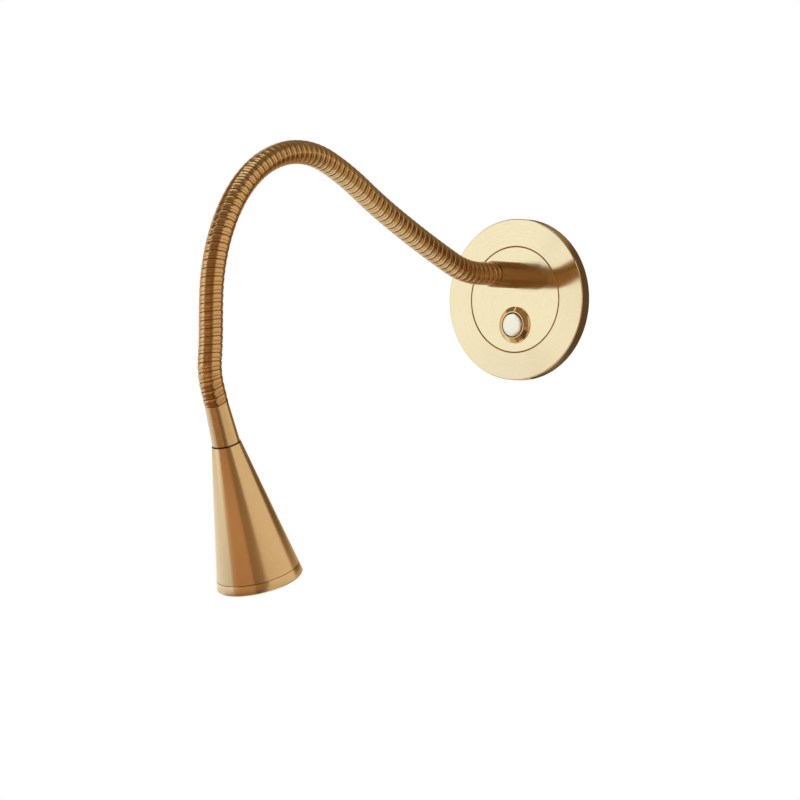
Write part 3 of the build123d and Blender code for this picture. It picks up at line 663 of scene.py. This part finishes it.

# The strip's section over one pitch, as share of the pitch and radius: groove, broad crowned
# turn, narrow groove, low turn, groove. What lies within GROOVE_BELOW gets painted shade, a darker
# brown brass in the recesses.
STRIP_CORNERS = [
    (0.000, 0.00532),
    (0.045, 0.00532),
    (0.060, 0.00564),
    (0.110, 0.00572),
    (0.300, 0.00575),
    (0.530, 0.00574),
    (0.580, 0.00568),
    (0.595, 0.00546),
    (0.625, 0.00546),
    (0.640, 0.00562),
    (0.780, 0.00565),
    (0.930, 0.00562),
    (0.950, 0.00532),
    (1.000, 0.00532),
]
GROOVE_BELOW = 0.00550

link_length = NECK_LENGTH / LINKS
pitch = link_length / TURNS_PER_LINK
neck_part = NECK_LENGTH / sum(parts for parts, turn in STRETCHES)
link_bodies = ["base", *[f"neck_{number:02d}" for number in range(2, LINKS)], "head"]


def handled_brass(name, colour, roughness, patch, grain):
    """Plated strip that hands have bent for years: darker patches over fine scratches."""
    made, net, shader = new_material(name)
    shader.inputs["Metallic"].default_value = 1.0
    spot = node(net, "TexCoord").outputs["Object"]
    patches = node(net, "TexNoise", {"Vector": spot, "Scale": patch, "Detail": 4.0})
    scratches = node(net, "TexNoise", {"Vector": spot, "Scale": grain, "Detail": 2.0})
    vary_colour(made, patches.outputs["Fac"], colour, darkest=0.9, lightest=1.08)
    vary_roughness(made, scratches.outputs["Fac"], roughness, smoothest=0.75, roughest=1.3)
    return made


def neck_spot(distance):
    """The point of the neck's middle line at this distance from the collar, and its direction."""
    out, up, heading = COLLAR_TOP, COLLAR_UP, 0.0
    for parts, turn in STRETCHES:
        last = (parts, turn) == STRETCHES[-1]
        run = distance if last else min(distance, parts * neck_part)
        bend = radians(turn) * run / (parts * neck_part)
        chord = 2 * run / bend * sin(bend / 2) if bend else run
        out += chord * cos(heading + bend / 2)
        up += chord * sin(heading + bend / 2)
        heading += bend
        distance -= run
        if distance <= 0:
            break
    return Vector((0, -out, up)), Vector((0, -cos(heading), sin(heading)))


def handle_reach(parts, turn):
    """How far a curve's handles reach so that it follows this stretch's arc."""
    run, bend = parts * neck_part, abs(radians(turn))
    return 4 / 3 * tan(bend / 4) * run / bend if bend else run / 3


def wound(name, corners, low, high):
    """A strip section wound about X, turn beside turn, a little past both distances."""
    start = (int(low / pitch) - SPARE_TURNS) * pitch
    skin = drawn_line(name, [(start + share * pitch, 0, radius) for share, radius in corners])
    winding = skin.modifiers.new("winding", "SCREW")
    winding.axis = "X"
    winding.screw_offset = pitch
    winding.iterations = int((high - low) / pitch) + 2 * SPARE_TURNS
    winding.steps = winding.render_steps = WIND_STEPS
    winding.use_merge_vertices = True
    winding.merge_threshold = MERGED_WITHIN
    bpy.ops.object.modifier_apply(modifier=winding.name)
    return skin


def cut_from(whole, name, low, high, hollow):
    """A copy of a straight winding between two distances, closed at both cuts, bent to the neck."""
    bpy.ops.object.select_all(action="DESELECT")
    whole.select_set(True)
    bpy.context.view_layer.objects.active = whole
    bpy.ops.object.duplicate()
    piece = bpy.context.object
    piece.name = piece.data.name = name
    bpy.ops.object.mode_set(mode="EDIT")
    for distance, lower in ((low, True), (high, False)):
        bpy.ops.mesh.select_all(action="SELECT")
        bpy.ops.mesh.bisect(
            plane_co=(distance, 0, 0),
            plane_no=(1, 0, 0),
            clear_inner=lower,
            clear_outer=not lower,
            use_fill=not hollow,
            threshold=CUT_WITHIN,
        )
        if hollow:
            bpy.ops.mesh.bridge_edge_loops()
    bpy.ops.mesh.select_all(action="SELECT")
    bpy.ops.mesh.normals_make_consistent(inside=False)
    bpy.ops.object.mode_set(mode="OBJECT")
    bending = piece.modifiers.new("bending", "CURVE")
    bending.object = neck_line
    bending.deform_axis = "POS_X"
    bpy.ops.object.modifier_apply(modifier=bending.name)
    bpy.ops.object.shade_smooth_by_angle(angle=radians(35))
    return piece


def laid_along(whole, name, replaced, low, high, hollow):
    """Cuts a winding at the middle of each link. The two end pieces go to the base's and the head's
    bodies, and the pieces between stay where they are.
    """
    half = link_length / 2
    for number in range(LINKS + 1):
        start = low if number == 0 else number * link_length - half
        end = high if number == LINKS else number * link_length + half
        piece = cut_from(whole, f"{name}_{number:02d}", start, end, hollow)
        near, far = max(number, 1), min(number + 1, LINKS)
        if near == far:
            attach(piece, link_bodies[near - 1])
        else:
            neck_spot(start)[0]
            neck_spot(end)[0]
            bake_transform(piece)
        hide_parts(*{f"{replaced}_{near:02d}", f"{replaced}_{far:02d}"})
    bpy.data.objects.remove(whole)


# The neck's middle line as a curve, which bends the straight hose and lead.
bpy.ops.object.select_all(action="DESELECT")
bpy.ops.curve.primitive_bezier_curve_add(location=(0, 0, 0))
neck_line = bpy.context.object
neck_line.data.twist_mode = "MINIMUM"
neck_line.data.resolution_u = 64
neck_line.data.use_deform_bounds = False
ends = neck_line.data.splines[0].bezier_points
ends.add(len(STRETCHES) - 1)
travelled = 0.0
for number, end in enumerate(ends):
    spot, way = neck_spot(travelled)
    before = STRETCHES[max(number - 1, 0)]
    after = STRETCHES[min(number, len(STRETCHES) - 1)]
    end.handle_left_type = end.handle_right_type = "FREE"
    end.co = spot
    end.handle_left = spot - handle_reach(*before) * way
    end.handle_right = spot + handle_reach(*after) * way
    travelled += after[0] * neck_part

hose_brass = handled_brass("hose_brass", (0.74, 0.51, 0.25), roughness=0.20, patch=400, grain=3500)
# Painted shade: the grooves between the turns get this darker brown brass.
hose_groove_shade = handled_brass(
    "hose_groove_shade", (0.40, 0.22, 0.085), roughness=0.50, patch=400, grain=3500
)
strip = wound("strip", STRIP_CORNERS, -HOSE_SUNK, NECK_LENGTH)
strip.data.materials.append(hose_brass)
strip.data.materials.append(hose_groove_shade)
for face in strip.data.polygons:
    face.material_index = int(Vector((0, *face.center[1:])).length < GROOVE_BELOW)
bore = wound("bore", [(0, HOSE_BORE), (1, HOSE_BORE)], -HOSE_SUNK, NECK_LENGTH)
bore.data.materials.append(hose_brass)
bpy.ops.object.select_all(action="DESELECT")
strip.select_set(True)
bore.select_set(True)
bpy.context.view_layer.objects.active = strip
bpy.ops.object.join()
laid_along(strip, "hose", "neck_link", -HOSE_SUNK, NECK_LENGTH, hollow=True)


# ---------------------------------------------------------------------------------------------
# Lead: the soft two-core lead that runs inside the hose, from the driver's board behind the wall
# to the LED's board in the head. Its sheath is extruded plastic, and it bends with the hose.
# ---------------------------------------------------------------------------------------------
LEAD_RADIUS = 0.0025
BOARD_BEHIND = 0.0140
LED_BOARD_ALONG = 0.0593

lead_sheath = moulded("lead_sheath", (0.62, 0.60, 0.54), roughness=0.5, grain=1500, depth=0.000004)
lead_start, lead_end = -COLLAR_TOP - BOARD_BEHIND, NECK_LENGTH + LED_BOARD_ALONG
sheath = wound("sheath", [(0, LEAD_RADIUS), (1, LEAD_RADIUS)], lead_start, lead_end)
sheath.data.materials.append(lead_sheath)
laid_along(sheath, "lead", "lamp_lead", lead_start, lead_end, hollow=False)
bpy.data.objects.remove(neck_line)


# ---------------------------------------------------------------------------------------------
# Ferrule: a tapered brass sleeve between the hose and the shade, with a stud in the hose's bore
# and a boss that the shade screws on. A narrow step at its end makes the seam, and painted shade,
# a dark brown band in the brass, darkens it further.
# ---------------------------------------------------------------------------------------------
HEAD_TOP, HEAD_WAY = neck_spot(NECK_LENGTH)
SHADE_TOP = 0.0200
# Painted shade: the seams at the ferrule and at the rim ring are painted this dark brown.
SEAM_START, SEAM_STOP = SHADE_TOP - 0.00045, SHADE_TOP + 0.0002
SEAM_SHADE_BROWN = (0.25, 0.12, 0.04)
FERRULE_CORNERS = [
    (0.0028, -0.0080),
    (0.00395, -0.0080),
    (0.00395, 0.0),
    (0.0056, 0.0),
    (0.00665, 0.01955),
    (0.0062, 0.0196),
    (0.0062, SHADE_TOP),
    (0.0040, SHADE_TOP),
    (0.0040, 0.0260),
    (0.0028, 0.0260),
]

head_brass = ringed_metal(
    "head_brass",
    (0.88, 0.69, 0.41),
    roughness=0.24,
    way=HEAD_WAY,
    centre=HEAD_TOP,
    grain=3200,
    depth=0.000003,
)
# Painted shade: a dark brown band over the seam between the ferrule and the shade.
darken_between(head_brass, "along", SEAM_START, SEAM_STOP, SEAM_SHADE_BROWN)
ferrule = turned("ferrule_sleeve", FERRULE_CORNERS)
set_in_place(ferrule, HEAD_TOP, HEAD_WAY, head_brass)
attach(ferrule, "head")
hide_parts("head_ferrule")


# ---------------------------------------------------------------------------------------------
# Shade: a spun brass cone, brushed round and lacquered. Its neck is screwed onto the ferrule's
# boss, and its open end takes the rim ring, with a fine seam between them that painted shade
# darkens.
# ---------------------------------------------------------------------------------------------
SHADE_END, MOUTH = 0.0844, 0.0894
RIM_SEAM_START, RIM_SEAM_STOP = SHADE_END - 0.0001, SHADE_END + 0.0002
SEAM_RADIUS, MOUTH_RADIUS = 0.0070, 0.0209
WALL = 0.0012
BOSS_HOLE, BOSS_DEPTH = 0.00405, 0.008
HEAD_STEPS = 160


def cone_radius(height):
    """The shade's outer radius at this height along the head."""
    share = (height - SHADE_TOP) / (MOUTH - SHADE_TOP)
    return SEAM_RADIUS + share * (MOUTH_RADIUS - SEAM_RADIUS)


boss_end = SHADE_TOP + BOSS_DEPTH
shade_corners = [
    (BOSS_HOLE, SHADE_TOP),
    (SEAM_RADIUS, SHADE_TOP),
    (cone_radius(SHADE_END), SHADE_END),
    (cone_radius(SHADE_END) - WALL, SHADE_END),
    (cone_radius(boss_end) - WALL, boss_end),
    (BOSS_HOLE, boss_end),
]
# Painted shade: a thin dark brown band over the seam between the shade and the rim ring.
darken_between(head_brass, "along", RIM_SEAM_START, RIM_SEAM_STOP, SEAM_SHADE_BROWN)
cone = turned("shade_cone", shade_corners, steps=HEAD_STEPS)
set_in_place(cone, HEAD_TOP, HEAD_WAY, head_brass)
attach(cone, "head")
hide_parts("shade")


# ---------------------------------------------------------------------------------------------
# Rim ring: a turned brass ring that goes on with the cone's slope. Its spigot is pushed into the
# cone's open end, and the lip at its mouth holds the lens.
# ---------------------------------------------------------------------------------------------
SPIGOT_DEPTH, SPIGOT_WALL, FIT = 0.002, 0.0006, 0.0001
LIP_REACH, LIP_THICKNESS = 0.0007, 0.0012
EDGE_INSET, EDGE_HEIGHT = 0.0006, 0.0005

spigot_top = SHADE_END - SPIGOT_DEPTH
lens_seat = cone_radius(spigot_top) - WALL - FIT - SPIGOT_WALL
rim_corners = [
    (lens_seat, spigot_top),
    (cone_radius(spigot_top) - WALL - FIT, spigot_top),
    (cone_radius(SHADE_END) - WALL - FIT, SHADE_END),
    (cone_radius(SHADE_END), SHADE_END),
    (MOUTH_RADIUS - FIT, MOUTH - EDGE_HEIGHT),
    (MOUTH_RADIUS - EDGE_INSET, MOUTH),
    (lens_seat - LIP_REACH + LIP_THICKNESS, MOUTH),
    (lens_seat - LIP_REACH, MOUTH - LIP_THICKNESS),
    (lens_seat, MOUTH - LIP_THICKNESS),
]
rim = turned("mouth_ring", rim_corners, steps=HEAD_STEPS)
set_in_place(rim, HEAD_TOP, HEAD_WAY, head_brass)
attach(rim, "head")
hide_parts("rim_ring")


# ---------------------------------------------------------------------------------------------
# Light inside the cone: an LED on an aluminium board, a grooved heat sink in the cone's neck, a
# bright reflector and a frosted lens on the rim's lip.
# ---------------------------------------------------------------------------------------------
LENS_CLEARNESS = 0.6

sink_aluminium = ringed_metal(
    "sink_aluminium",
    (0.66, 0.67, 0.68),
    roughness=0.3,
    way=HEAD_WAY,
    centre=HEAD_TOP,
    grain=2600,
    depth=0.000003,
)
reflector_aluminium = ringed_metal(
    "reflector_aluminium",
    (0.86, 0.86, 0.87),
    roughness=0.18,
    way=HEAD_WAY,
    centre=HEAD_TOP,
    grain=2200,
    depth=0.000001,
)
board_white = moulded(
    "board_white", (0.80, 0.81, 0.80), roughness=0.4, grain=1500, depth=0.000003
)
led_phosphor = moulded(
    "led_phosphor", (0.85, 0.68, 0.10), roughness=0.35, grain=3000, depth=0.000003
)
frosted_lens = moulded(
    "frosted_lens", (0.88, 0.88, 0.85), roughness=0.45, grain=2600, depth=0.000006
)
lens_shader = frosted_lens.node_tree.nodes["Principled BSDF"]
lens_shader.inputs["Transmission Weight"].default_value = LENS_CLEARNESS
finish_with(sink_aluminium, "heat_sink")
finish_with(reflector_aluminium, "reflector")
finish_with(board_white, "led_board")
finish_with(led_phosphor, "led_chip")
finish_with(frosted_lens, "lens")
